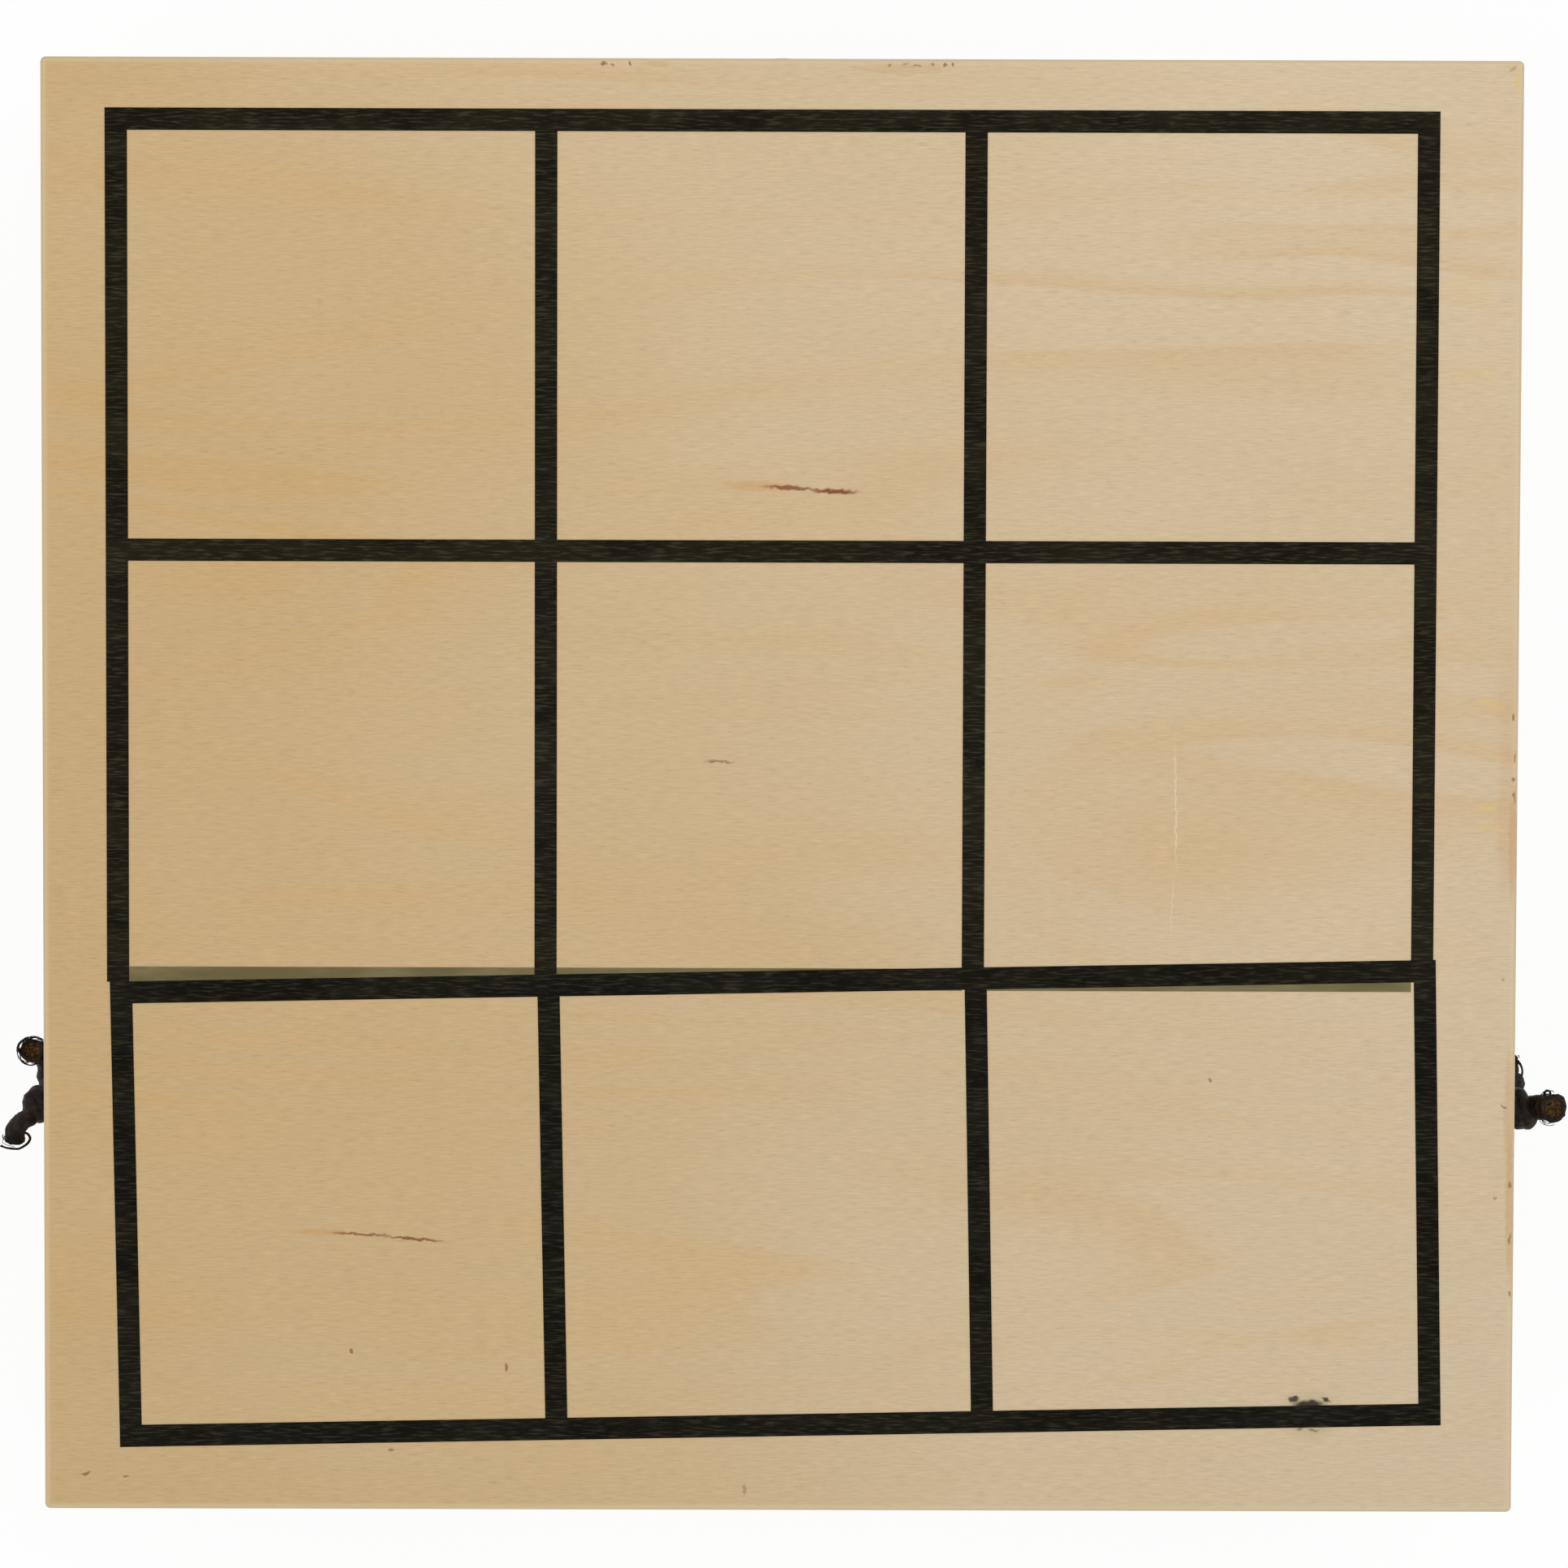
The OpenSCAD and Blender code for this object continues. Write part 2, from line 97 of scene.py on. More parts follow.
def srgb(red, green, blue):
    """A screen colour, 0 to 255 a channel, as the linear colour that a shader takes."""
    def linear(value):
        value = value / 255
        return value / 12.92 if value <= 0.04045 else ((value + 0.055) / 1.055) ** 2.4
    return (linear(red), linear(green), linear(blue), 1.0)


class Shader:
    """One material: nodes are added and wired by name around its Principled BSDF."""

    def __init__(self, name):
        self.material = bpy.data.materials.new(name)
        self.material.use_nodes = True
        self.tree = self.material.node_tree
        self.surface = self.tree.nodes["Principled BSDF"]
        place = self.node("TexCoord")
        self.here = place.outputs["Object"]
        self.normal = place.outputs["Normal"]

    def node(self, kind, inputs=None, **settings):
        made = self.tree.nodes.new("ShaderNode" + kind)
        for key, value in settings.items():
            setattr(made, key, value)
        for key, value in (inputs or {}).items():
            self.put(made.inputs[key], value)
        return made

    def put(self, socket, value):
        if isinstance(value, bpy.types.NodeSocket):
            self.tree.links.new(value, socket)
        else:
            socket.default_value = value

    def finish(self, **inputs):
        """Sets the surface's own sockets; an underscore in a name stands for a space."""
        for key, value in inputs.items():
            self.put(self.surface.inputs[key.replace("_", " ")], value)
        return self.material

    def stretched(self, size, shift=0.0, start=None):
        """The object's coordinates in units of size, a length in metres for each axis."""
        inputs = {"Vector": start or self.here, "Location": (shift, shift * 1.7, shift * 0.6)}
        inputs["Scale"] = [1 / length for length in size]
        return self.node("Mapping", inputs).outputs[0]

    def noise(self, vector, detail=2.0, distortion=0.0):
        inputs = {"Vector": vector, "Scale": 1.0, "Detail": detail, "Distortion": distortion}
        return self.node("TexNoise", inputs).outputs["Fac"]

    def grain(self, size, detail=2.0, distortion=0.0, shift=0.0):
        """Noise about 0.5, stretched to a size in metres for each axis."""
        return self.noise(self.stretched(size, shift), detail, distortion)

    def math(self, operation, first, second=0.0):
        return self.node("Math", {0: first, 1: second}, operation=operation).outputs[0]

    def remap(self, value, low, high, to_low=0.0, to_high=1.0, kind="SMOOTHSTEP"):
        """Carries a value from one range to another and holds it at the ends."""
        inputs = {"Value": value, 1: low, 2: high, 3: to_low, 4: to_high}
        return self.node("MapRange", inputs, interpolation_type=kind).outputs[0]

    def part(self, vector, axis):
        return self.node("SeparateXYZ", {0: vector}).outputs["XYZ".index(axis)]

    def mix(self, share, first, second, kind="MIX"):
        inputs = {0: share, 6: first, 7: second}
        return self.node("Mix", inputs, data_type="RGBA", blend_type=kind).outputs[2]

    def shade(self, colour, amount):
        """A colour made lighter or darker by a factor near 1."""
        if isinstance(colour, tuple):
            colour = colour[:3]
        return self.node("VectorMath", {0: colour, "Scale": amount}, operation="SCALE").outputs[0]

    def facing(self, axis):
        """1 where the surface faces along an axis, either way, and 0 where it runs along it."""
        along = self.math("ABSOLUTE", self.part(self.normal, axis))
        return self.remap(along, 0.55, 0.8)

    def bump(self, height, depth, strength=1.0):
        inputs = {"Height": height, "Distance": depth, "Strength": strength}
        return self.node("Bump", inputs).outputs[0]


def leather(name):
    """Black-brown waxed leather cord: creased across, worn brown on its high spots."""
    shader = Shader(name)
    creases = shader.grain((0.9 * MM, 0.9 * MM, 0.6 * MM), 4, 0.8)
    patches = shader.grain((2.6 * MM,) * 3, 2, 0.3)
    pores = shader.grain((0.16 * MM,) * 3, 2)
    colour = shader.mix(shader.remap(patches, 0.46, 0.66), srgb(21, 16, 12), srgb(48, 35, 25))
    colour = shader.mix(shader.remap(creases, 0.56, 0.7, 0, 0.5), colour, srgb(66, 50, 36))
    height = shader.math("ADD", creases, shader.math("MULTIPLY", pores, 0.25))
    return shader.finish(
        Base_Color=colour,
        Roughness=shader.remap(patches, 0.3, 0.7, 0.42, 0.62),
        Normal=shader.bump(height, 0.3 * MM, 0.9),
        Specular_IOR_Level=0.12,
    )


def leather_core(name):
    """The undyed ochre-brown core of the cord where it is cut: matted fibres."""
    shader = Shader(name)
    tufts = shader.grain((0.35 * MM,) * 3, 4, 1.2)
    colour = shader.mix(shader.remap(tufts, 0.4, 0.66), srgb(36, 26, 16), srgb(112, 80, 44))
    return shader.finish(
        Base_Color=colour,
        Roughness=0.85,
        Normal=shader.bump(tufts, 0.3 * MM, 0.9),
        Specular_IOR_Level=0.1,
    )


# Where the stay holes are along Y, and how far above and below the parting plane. The stays' route is
# the distance inwards from the box's outer face, from the holes towards the hinges, and above the
# parting plane. It repeats the route in the CAD source.
STAY_Y = -0.044
HOLE_RISE = 0.0065
STAY_ROUTE = [
    (0.0, 0.0, -0.0065), (0.004, 0.0, -0.0065), (0.0085, 0.0, -0.0065), (0.0113, 0.0008, -0.0067),
    (0.0134, 0.0029, -0.0072), (0.0142, 0.0058, -0.0084), (0.0143, 0.0092, -0.0106),
    (0.014, 0.0135, -0.0136), (0.0135, 0.0195, -0.0168), (0.0132, 0.026, -0.0184),
    (0.013, 0.0325, -0.0172), (0.0131, 0.037, -0.0128), (0.0132, 0.0385, -0.0066),
    (0.0132, 0.0368, -0.0006), (0.0131, 0.032, 0.004), (0.0132, 0.025, 0.007),
    (0.0137, 0.018, 0.0082), (0.0142, 0.0125, 0.0082), (0.0143, 0.009, 0.0078),
    (0.0142, 0.0058, 0.0074), (0.0134, 0.0029, 0.0069), (0.0113, 0.0008, 0.0066),
    (0.0085, 0.0, 0.0065), (0.004, 0.0, 0.0065), (0.0, 0.0, 0.0065),
]
# Steps between neighbouring points, points that lie in a wall, pieces of a stay inside the box, and
# steps by which neighbouring pieces overlap
STAY_STEPS = 6
WALL_POINTS = 2
STAY_PIECES = 20
OVERLAP_STEPS = 1
# Every other piece is slightly thinner, so that no two surfaces coincide where pieces overlap
THINNER = 0.985
STAY_SIDES = 20
STAY_WRINKLE = 0.05 * MM

# Creases in the leather: the size of the broad and of the fine ones, and the fine ones' share
CREASE = 1.2 * MM
FINE_CREASE = 0.45 * MM
FINE_SHARE = 0.45
# How finely a knot's cord is drawn, and its coil: turns, points a turn, and how far it moves on
KNOT_SIDES = 28
KNOT_STEPS = 7
KNOT_WRINKLE = 0.2 * MM
COIL_TURNS = 1.5
COIL_POINTS = 9
COIL_ADVANCE = 1.5 * MM
# A strand pulled loose from the cord: its radius, and the share of it lost towards the tip
STRAND_R = 0.2 * MM
STRAND_TAPER = 0.25
# The rings of a cut end, from its rim inwards: share of the rim's radius, how far it stands out past
# the cut in millimetres, and its material, 0 for the dark skin and 1 for the brown core
CUT_RINGS = [
    (1.02, 0.12, 0), (0.84, 0.2, 0), (0.68, 0.0, 0), (0.58, -0.3, 1), (0.42, -0.2, 1), (0.2, -0.35, 1),
]

# The knots. Places are distances out from the wall, +Y from the hole and above the hole. Each has the
# middle, axis and radius of its coil, its tail, how far the cut end flares as a multiple of the cord's
# radius, over what share of the cord it swells to that, how many hairs follow the rim of the cut, how
# many fibres stand out of it, and a strand pulled loose.
KNOTS = {
    "left_lid": {
        "coil": ((0.0034, -0.0012, 0.0), (0.94, -0.33, 0.1), 0.0014),
        "tail": [
            (0.0046, -0.0027, 0.001), (0.0058, -0.0036, 0.001), (0.0068, -0.0048, 0.0006),
            (0.007, -0.0062, 0.0),
        ],
        "flare": 1.06,
        "swell": 0.14,
        "hairs": 9,
        "fibres": 4,
        "strand": [
            (0.0064, -0.006, 0.0002), (0.0058, -0.0053, 0.0008), (0.0051, -0.0053, 0.0011),
            (0.0047, -0.0059, 0.0011), (0.005, -0.0066, 0.0009), (0.0056, -0.0071, 0.0007),
            (0.0064, -0.0075, 0.0005), (0.0073, -0.0075, 0.0003), (0.0082, -0.0074, 0.0002),
            (0.009, -0.0071, 0.0002),
        ],
    },
    "left_base": {
        "coil": ((0.0033, 0.001, 0.0), (0.6, 0.75, 0.2), 0.0014),
        "tail": [(0.0044, 0.0034, 0.0008), (0.0055, 0.005, 0.0026), (0.0058, 0.0054, 0.005)],
        "flare": 1.3,
        "swell": 0.14,
        "hairs": 22,
        "fibres": 5,
        "strand": [
            (0.0066, 0.0044, 0.0044), (0.0074, 0.005, 0.005), (0.0077, 0.006, 0.0053),
            (0.0072, 0.0068, 0.0054), (0.0062, 0.0071, 0.0053), (0.0053, 0.0067, 0.005),
        ],
    },
    "right_lid": {
        "coil": ((0.0037, -0.0013, 0.0), (0.97, 0.22, 0.1), 0.0017),
        "tail": [(0.005, -0.0012, 0.0004), (0.0069, -0.0009, 0.0018), (0.0077, -0.0008, 0.0044)],
        "flare": 1.48,
        "swell": 0.3,
        "hairs": 8,
        "fibres": 12,
        "strand": [
            (0.0068, 0.0004, 0.003), (0.0066, 0.0012, 0.0034), (0.0069, 0.0016, 0.0037),
            (0.0073, 0.0014, 0.0038), (0.0073, 0.0009, 0.0039), (0.0069, 0.0006, 0.004),
        ],
    },
    "right_base": {
        "coil": ((0.0036, 0.0015, 0.0), (0.5, 0.85, -0.1), 0.0015),
        "tail": [(0.0042, 0.0028, -0.0004), (0.0044, 0.0036, -0.0006), (0.0043, 0.0044, -0.0004)],
        "flare": 0.8,
        "swell": 0.14,
        "hairs": 6,
        "fibres": 3,
        "strand": [
            (0.0046, 0.0046, 0.0), (0.0052, 0.0042, 0.0004), (0.0057, 0.0035, 0.0008),
            (0.0059, 0.0027, 0.0009), (0.0058, 0.0019, 0.0008),
        ],
    },
}


def midway(a, b, c, d, t):
    """A point between b and c on the smooth curve through a, b, c and d."""
    return 0.5 * (
        2 * b + (c - a) * t + (2 * a - 5 * b + 4 * c - d) * t ** 2 + (3 * b - a - 3 * c + d) * t ** 3
    )


def smooth(points, steps):
    """A smooth line through points, with a number of steps between neighbours."""
    points = [Vector(point) for point in points]
    last = len(points) - 1
    curve = []
    for i in range(last):
        before = points[i - 1] if i else 2 * points[0] - points[1]
        after = points[i + 2] if i + 2 <= last else 2 * points[last] - points[last - 1]
        for step in range(steps):
            curve.append(midway(before, points[i], points[i + 1], after, step / steps))
    return curve + [points[last]]


def carried_frames(path):
    """A heading, a side and an up direction at each point of a path, carried along without twist."""
    last = len(path) - 1
    headings = [(path[min(i + 1, last)] - path[max(i - 1, 0)]).normalized() for i in range(last + 1)]
    side = headings[0].orthogonal().normalized()
    frames = []
    for heading in headings:
        side = (side - heading * side.dot(heading)).normalized()
        frames.append((heading, side, heading.cross(side)))
    return frames


def add_ring(mesh, centre, side, up, radius, sides, wrinkle=0.0):
    ring = []
    for i in range(sides):
        angle = 2 * math.pi * i / sides
        out = side * math.cos(angle) + up * math.sin(angle)
        place = centre + out * radius
        crease = noise.noise(place / CREASE) + FINE_SHARE * noise.noise(place / FINE_CREASE)
        ring.append(mesh.verts.new(place + out * crease * wrinkle))
    return ring


def join_rings(mesh, first, second, slot=0):
    for i in range(len(first)):
        j = (i + 1) % len(first)
        face = mesh.faces.new((first[i], first[j], second[j], second[i]))
        face.material_index = slot
        face.smooth = True


def close_ring(mesh, ring, slot=0):
    centre = mesh.verts.new(sum((vert.co for vert in ring), Vector()) / len(ring))
    for i in range(len(ring)):
        face = mesh.faces.new((ring[i], ring[(i + 1) % len(ring)], centre))
        face.material_index = slot
        face.smooth = True


def add_tube(mesh, path, radius_at, sides, wrinkle=0.0, closed_end=True):
    """Adds a tube along a path; radius_at takes the share of its points so far, 0 to 1."""
    frames = carried_frames(path)
    rings = []
    for i, point in enumerate(path):
        heading, side, up = frames[i]
        rings.append(add_ring(mesh, point, side, up, radius_at(i / (len(path) - 1)), sides, wrinkle))
    for first, second in zip(rings, rings[1:]):
        join_rings(mesh, first, second)
    close_ring(mesh, rings[0])
    if closed_end:
        close_ring(mesh, rings[-1])
    return rings[-1], frames[-1]


def add_cut_end(mesh, rim, end, frame_there, radius, rng):
    """The ragged cut end: a dark lip that turns in, and the brown core inside it."""
    heading, side, up = frame_there
    before = rim
    for share, proud, slot in CUT_RINGS:
        ring = add_ring(mesh, end + heading * proud * MM, side, up, radius * share, len(rim), 0.12 * MM)
        for vert in ring:
            vert.co += heading * rng.uniform(-0.2, 0.2) * MM
            vert.co += (end - vert.co) * rng.uniform(-0.07, 0.07)
        join_rings(mesh, before, ring, slot)
        before = ring
    close_ring(mesh, before, 1)


def add_rim_hair(mesh, end, frame_there, radius, rng):
    """One fine hair that follows the rim of the cut end for part of a turn, standing off it."""
    heading, side, up = frame_there
    start = rng.uniform(0, 2 * math.pi)
    span = rng.uniform(0.7, 2.2)
    off = rng.uniform(1.0, 1.22)
    drop = rng.uniform(-0.9, 0.3) * MM
    path = []
    steps = 9
    for i in range(steps + 1):
        angle = start + span * i / steps
        bulge = off + 0.12 * math.sin(math.pi * i / steps) + rng.uniform(-0.02, 0.02)
        out = side * math.cos(angle) + up * math.sin(angle)
        path.append(end + out * radius * bulge + heading * (drop + rng.uniform(-0.05, 0.05) * MM))
    thick = rng.uniform(0.04, 0.075) * MM
    add_tube(mesh, path, lambda share: thick, 5)


def add_fibre(mesh, start, heading, length, rng):
    """One fine fibre that curls as it goes."""
    path = [start]
    turn_axis = Vector([rng.uniform(-1, 1) for _ in range(3)]).normalized()
    curl = rng.uniform(-0.5, 0.5)
    steps = 8
    for _ in range(steps):
        heading = Matrix.Rotation(curl, 3, turn_axis) @ heading
        path.append(path[-1] + heading * length / steps)
    thick = rng.uniform(0.05, 0.09) * MM
    add_tube(mesh, path, lambda share: thick * (1 - 0.6 * share), 5)


def to_world(left, hole_z, point):
    """A point of a knot, given out from the wall, along +Y and above the hole, in the part's frame."""
    out, along, above = point
    x = HALF_W + out
    return Vector((-x if left else x, STAY_Y + along, hole_z + above))


def object_from(mesh, name, materials):
    """Turns a finished mesh into an object in the scene."""
    bmesh.ops.recalc_face_normals(mesh, faces=mesh.faces)
    data = bpy.data.meshes.new(name)
    mesh.to_mesh(data)
    mesh.free()
    for material in materials:
        data.materials.append(material)
    made = bpy.data.objects.new(name, data)
    scene.collection.objects.link(made)
    return made


def coil_around(centre, axis, radius, turns, advance):
    """Points of a short coil about an axis, moving along it as it turns."""
    side = axis.orthogonal().normalized()
    up = axis.cross(side)
    count = round(turns * COIL_POINTS)
    points = []
    for i in range(count + 1):
        angle = 2 * math.pi * turns * i / count
        swing = side * math.cos(angle) + up * math.sin(angle)
        points.append(centre + swing * radius + axis * advance * (i / count - 0.5))
    return points


def make_knot(name, materials):
    """A tight overhand knot outside its hole, with a tail, a flared cut end and loose fibres."""
    knot = KNOTS[name]
    left = name.startswith("left")
    hole_z = PARTING + (HOLE_RISE if "lid" in name else -HOLE_RISE)
    rng = random.Random(name)
    coil_at, coil_axis, coil_radius = knot["coil"]
    middle = to_world(left, hole_z, coil_at)
    axis = Vector(coil_axis)
    axis.x *= -1 if left else 1
    wall = [to_world(left, hole_z, (out, 0, 0)) for out in (-1 * MM, 0.2 * MM)]
    coil = coil_around(middle, axis.normalized(), coil_radius, COIL_TURNS, COIL_ADVANCE)
    tail = [to_world(left, hole_z, point) for point in knot["tail"]]
    path = smooth(wall + coil + tail, KNOT_STEPS)

    def radius_at(share):
        swell = max(0.0, 1 - (1 - share) / knot["swell"])
        return KNOT_CORD_R * (1 + (knot["flare"] - 1) * swell ** 1.3)

    mesh = bmesh.new()
    rim, frame_there = add_tube(mesh, path, radius_at, KNOT_SIDES, KNOT_WRINKLE, closed_end=False)
    rim_radius = radius_at(1)
    add_cut_end(mesh, rim, path[-1], frame_there, rim_radius, rng)
    heading, side, up = frame_there
    for _ in range(knot["fibres"]):
        angle = rng.uniform(0, 2 * math.pi)
        out = side * math.cos(angle) + up * math.sin(angle)
        start = path[-1] + out * rim_radius * rng.uniform(0.75, 0.98) - heading * 0.2 * MM
        way = (heading * rng.uniform(0.2, 1) + out * rng.uniform(0.2, 0.9)).normalized()
        add_fibre(mesh, start, way, rng.uniform(0.3, 0.8) * MM, rng)
    for _ in range(knot["hairs"]):
        add_rim_hair(mesh, path[-1], frame_there, rim_radius, rng)
    line = smooth([to_world(left, hole_z, point) for point in knot["strand"]], 4)
    add_tube(mesh, line, lambda share: STRAND_R * (1 - STRAND_TAPER * share), 8, 0.04 * MM)
    made = object_from(mesh, name + "_knot_wound", materials)
    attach(made, "lid" if "lid" in name else "base")
    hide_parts(name + "_knot")


def add_stay_piece(name, path, thickness, material, cord_node):
    """A length of a stay cord, its thickness a share of the whole cord's. It stands for the CAD cord."""
    mesh = bmesh.new()
    add_tube(mesh, path, lambda _: CORD_R * thickness, STAY_SIDES, STAY_WRINKLE)
    piece = object_from(mesh, name, [material])
    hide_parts(cord_node)
    return piece


def make_stay(side_name, material):
    """One stay cord: an end in each wall, and between them short pieces that follow its route from base
    to lid.
    """
    left = side_name == "left"
    node = side_name + "_stay_cord"
    route = []
    for inwards, back, rise in STAY_ROUTE:
        x = HALF_W - inwards
        route.append(Vector((-x if left else x, STAY_Y - back, PARTING + rise)))
    whole = smooth(route, STAY_STEPS)
    along = [0.0]
    for before, after in zip(whole, whole[1:]):
        along.append(along[-1] + (after - before).length)
    first = WALL_POINTS * STAY_STEPS
    last = len(whole) - 1 - first
    base_path = whole[:first + 1 + OVERLAP_STEPS]
    base_end = add_stay_piece(node + "_base_end", base_path, THINNER, material, node)
    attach(base_end, "base")
    lid_path = whole[last - OVERLAP_STEPS:]
    lid_end = add_stay_piece(node + "_lid_end", lid_path, THINNER, material, node)
    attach(lid_end, "lid")
    cuts = [first + round((last - first) * i / STAY_PIECES) for i in range(STAY_PIECES + 1)]
    for i, (near, far) in enumerate(zip(cuts, cuts[1:])):
        path = whole[near - OVERLAP_STEPS:far + OVERLAP_STEPS + 1]
        thickness = THINNER if i % 2 else 1.0
        piece = add_stay_piece(f"{node}_{i + 1:02d}", path, thickness, material, node)
        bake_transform(piece)


make_camera()
cord_leather = leather("waxed_black_leather")
cut_core = leather_core("cut_leather_core")
for side_name in ("left", "right"):
    make_stay(side_name, cord_leather)
for knot_name in KNOTS:
    make_knot(knot_name, [cord_leather, cut_core])

# Wood colours, as they look on the screen
# The face's colour at its left and right sides: the darker, warmer left is painted shade and the paler
# right is painted light
FACE_PAINTED_SHADE_LEFT = srgb(198, 168, 121)
FACE_PAINTED_LIGHT_RIGHT = srgb(209, 189, 157)
FACE_BAND = srgb(202, 158, 94)
SANDED = srgb(212, 194, 160)
RAIL_PALE = srgb(210, 186, 144)
RAIL_WARM = srgb(196, 163, 112)
END_GRAIN = srgb(168, 134, 88)
PLY_CROSS = srgb(172, 138, 94)
GLUE_LINE = srgb(112, 82, 50)
# A dark colour painted in as the shade of the gap between lid and base
SEAM_PAINTED_SHADE = srgb(74, 52, 32)
# The arched figure in the lid's veneer: its focus, in millimetres, the step from arch to arch, and how
# strongly it shows
FIGURE_AT = (34.0, -3.0)
FIGURE_STEP = 15 * MM
FIGURE_COVER = 0.12
# The warm bands of the wood follow a noise: its length along the grain and width across it, and how
# many bands there are from its lowest to its highest value
BAND_LENGTH = 170 * MM
BAND_WIDTH = 27 * MM
BAND_COUNT = 7.0


def long_grain(axis, length, width):
    """A stretched size for grain that runs along an axis."""
    size = [width] * 3
    size["XYZ".index(axis)] = length
    return size


def growth_bands(shader, axis, shift=0.0):
    """Soft warm bands as sliced veneer shows: each fades on one side and stops sooner on the other."""
    slope = shader.grain(long_grain(axis, BAND_LENGTH, BAND_WIDTH), 2, 0.4, shift)
    return band_edge(shader, shader.math("MULTIPLY", slope, BAND_COUNT))


def band_edge(shader, rings):
    """One warm line for each whole ring: it builds up slowly and ends sooner."""
    wave = shader.math("FRACT", rings)
    rising = shader.remap(wave, 0.3, 0.86)
    falling = shader.remap(wave, 0.86, 1.0, 1.0, 0.0)
    return shader.math("MULTIPLY", rising, falling)


def arched_figure(shader):
    """Nested arches that open towards +X, as a flat-cut board shows, fading away from their focus."""
    focus = (FIGURE_AT[0] * MM, FIGURE_AT[1] * MM, 0)
    inputs = {"Vector": shader.here, "Location": focus, "Scale": (1, 0.7, 1000)}
    local = shader.node("Mapping", inputs, vector_type="TEXTURE").outputs[0]
    far = shader.node("VectorMath", {0: local}, operation="LENGTH").outputs["Value"]
    arch = shader.math("SUBTRACT", far, shader.part(local, "X"))
    ripple = shader.math("MULTIPLY", shader.grain((26 * MM, 9 * MM, 9 * MM), 3), 0.7)
    arch = shader.math("ADD", shader.math("DIVIDE", arch, FIGURE_STEP), ripple)
    fading = shader.remap(far, 20 * MM, 70 * MM, 1, 0)
    opening = shader.remap(shader.part(local, "X"), -5 * MM, 7 * MM)
    return shader.math("MULTIPLY", band_edge(shader, arch), shader.math("MULTIPLY", fading, opening))


def fine_grain(shader, axis, shift=0.0):
    """The brightness of the fine grain, near 1: short fibres and longer faint streaks."""
    fibres = shader.grain(long_grain(axis, 2.2 * MM, 0.2 * MM), 2, 0, shift)
    streaks = shader.grain(long_grain(axis, 16 * MM, 0.8 * MM), 3, 0.2, shift)
    pores = shader.grain(long_grain(axis, 1.8 * MM, 0.24 * MM), 1, 0, shift + 9)
    fine = shader.remap(fibres, 0.28, 0.72, 0.915, 1.075, "LINEAR")
    broad = shader.remap(streaks, 0.3, 0.7, 0.985, 1.012, "LINEAR")
    dashes = shader.remap(pores, 0.58, 0.76, 1.0, 0.91)
    return shader.math("MULTIPLY", shader.math("MULTIPLY", fine, broad), dashes), fibres


def solid_birch(name, axis, shift, warmth=0.0):
    """Planed birch rail: grain along its length, darker end grain on the finger ends, and painted shade
    at the parting line.
    """
    shader = Shader(name)
    grain, fibres = fine_grain(shader, axis, shift)
    bands = growth_bands(shader, axis, shift)
    patches = shader.grain((40 * MM,) * 3, 2, 0.4, shift)
    colour = shader.mix(shader.remap(patches, 0.35, 0.65, warmth, 0.5 + warmth), RAIL_PALE, RAIL_WARM)
    colour = shader.mix(shader.math("MULTIPLY", bands, 0.5), colour, FACE_BAND)
    colour = shader.shade(colour, grain)
    specks = shader.grain((0.32 * MM,) * 3, 3, 0, shift)
    end = shader.shade(END_GRAIN, shader.remap(specks, 0.3, 0.7, 0.82, 1.14, "LINEAR"))
    colour = shader.mix(shader.facing(axis), colour, end)
    # Painted shade: a dark line along the gap at the parting plane
    colour = shader.mix(painted_seam_shade(shader), colour, SEAM_PAINTED_SHADE)
    return shader.finish(
        Base_Color=colour,
        Roughness=shader.remap(fibres, 0.3, 0.7, 0.52, 0.66),
        Normal=shader.bump(fibres, 0.05 * MM, 0.6),
        Specular_IOR_Level=0.2,
    )


def painted_seam_shade(shader):
    """Painted shade of the gap where the lid meets the base: a fine dark line on the upright faces, none
    on the rims.
    """
    height = shader.math("SUBTRACT", shader.part(shader.here, "Z"), PARTING)
    line = shader.remap(shader.math("ABSOLUTE", height), 0.12 * MM, 0.42 * MM, 0.72, 0)
    upright = shader.math("SUBTRACT", 1.0, shader.facing("Z"))
    return shader.math("MULTIPLY", line, upright)


def ply_edges(shader, low):
    """The panel's edges: three plies, the middle one across the grain, with thin glue lines."""
    height = shader.math("SUBTRACT", shader.part(shader.here, "Z"), low)
    wobble = shader.grain((9 * MM, 9 * MM, 2 * MM), 2)
    height = shader.math("ADD", height, shader.remap(wobble, 0.2, 0.8, -0.12 * MM, 0.12 * MM, "LINEAR"))
    from_middle = shader.math("ABSOLUTE", shader.math("SUBTRACT", height, PANEL_T / 2))
    middle_half = 0.19 * PANEL_T
    inside = shader.remap(from_middle, middle_half - 0.05 * MM, middle_half + 0.05 * MM, 1, 0)
    near_line = shader.math("ABSOLUTE", shader.math("SUBTRACT", from_middle, middle_half))
    line = shader.remap(near_line, 0.03 * MM, 0.1 * MM, 0.7, 0)
    pores = shader.grain((0.25 * MM, 0.25 * MM, 0.5 * MM), 3)
    cross = shader.shade(PLY_CROSS, shader.remap(pores, 0.3, 0.7, 0.8, 1.15, "LINEAR"))
    strip = shader.grain((12 * MM, 12 * MM, 0.25 * MM), 2)
    long = shader.shade(RAIL_PALE, shader.remap(strip, 0.3, 0.7, 0.92, 1.05, "LINEAR"))
    colour = shader.mix(inside, long, cross)
    return shader.mix(line, colour, GLUE_LINE)


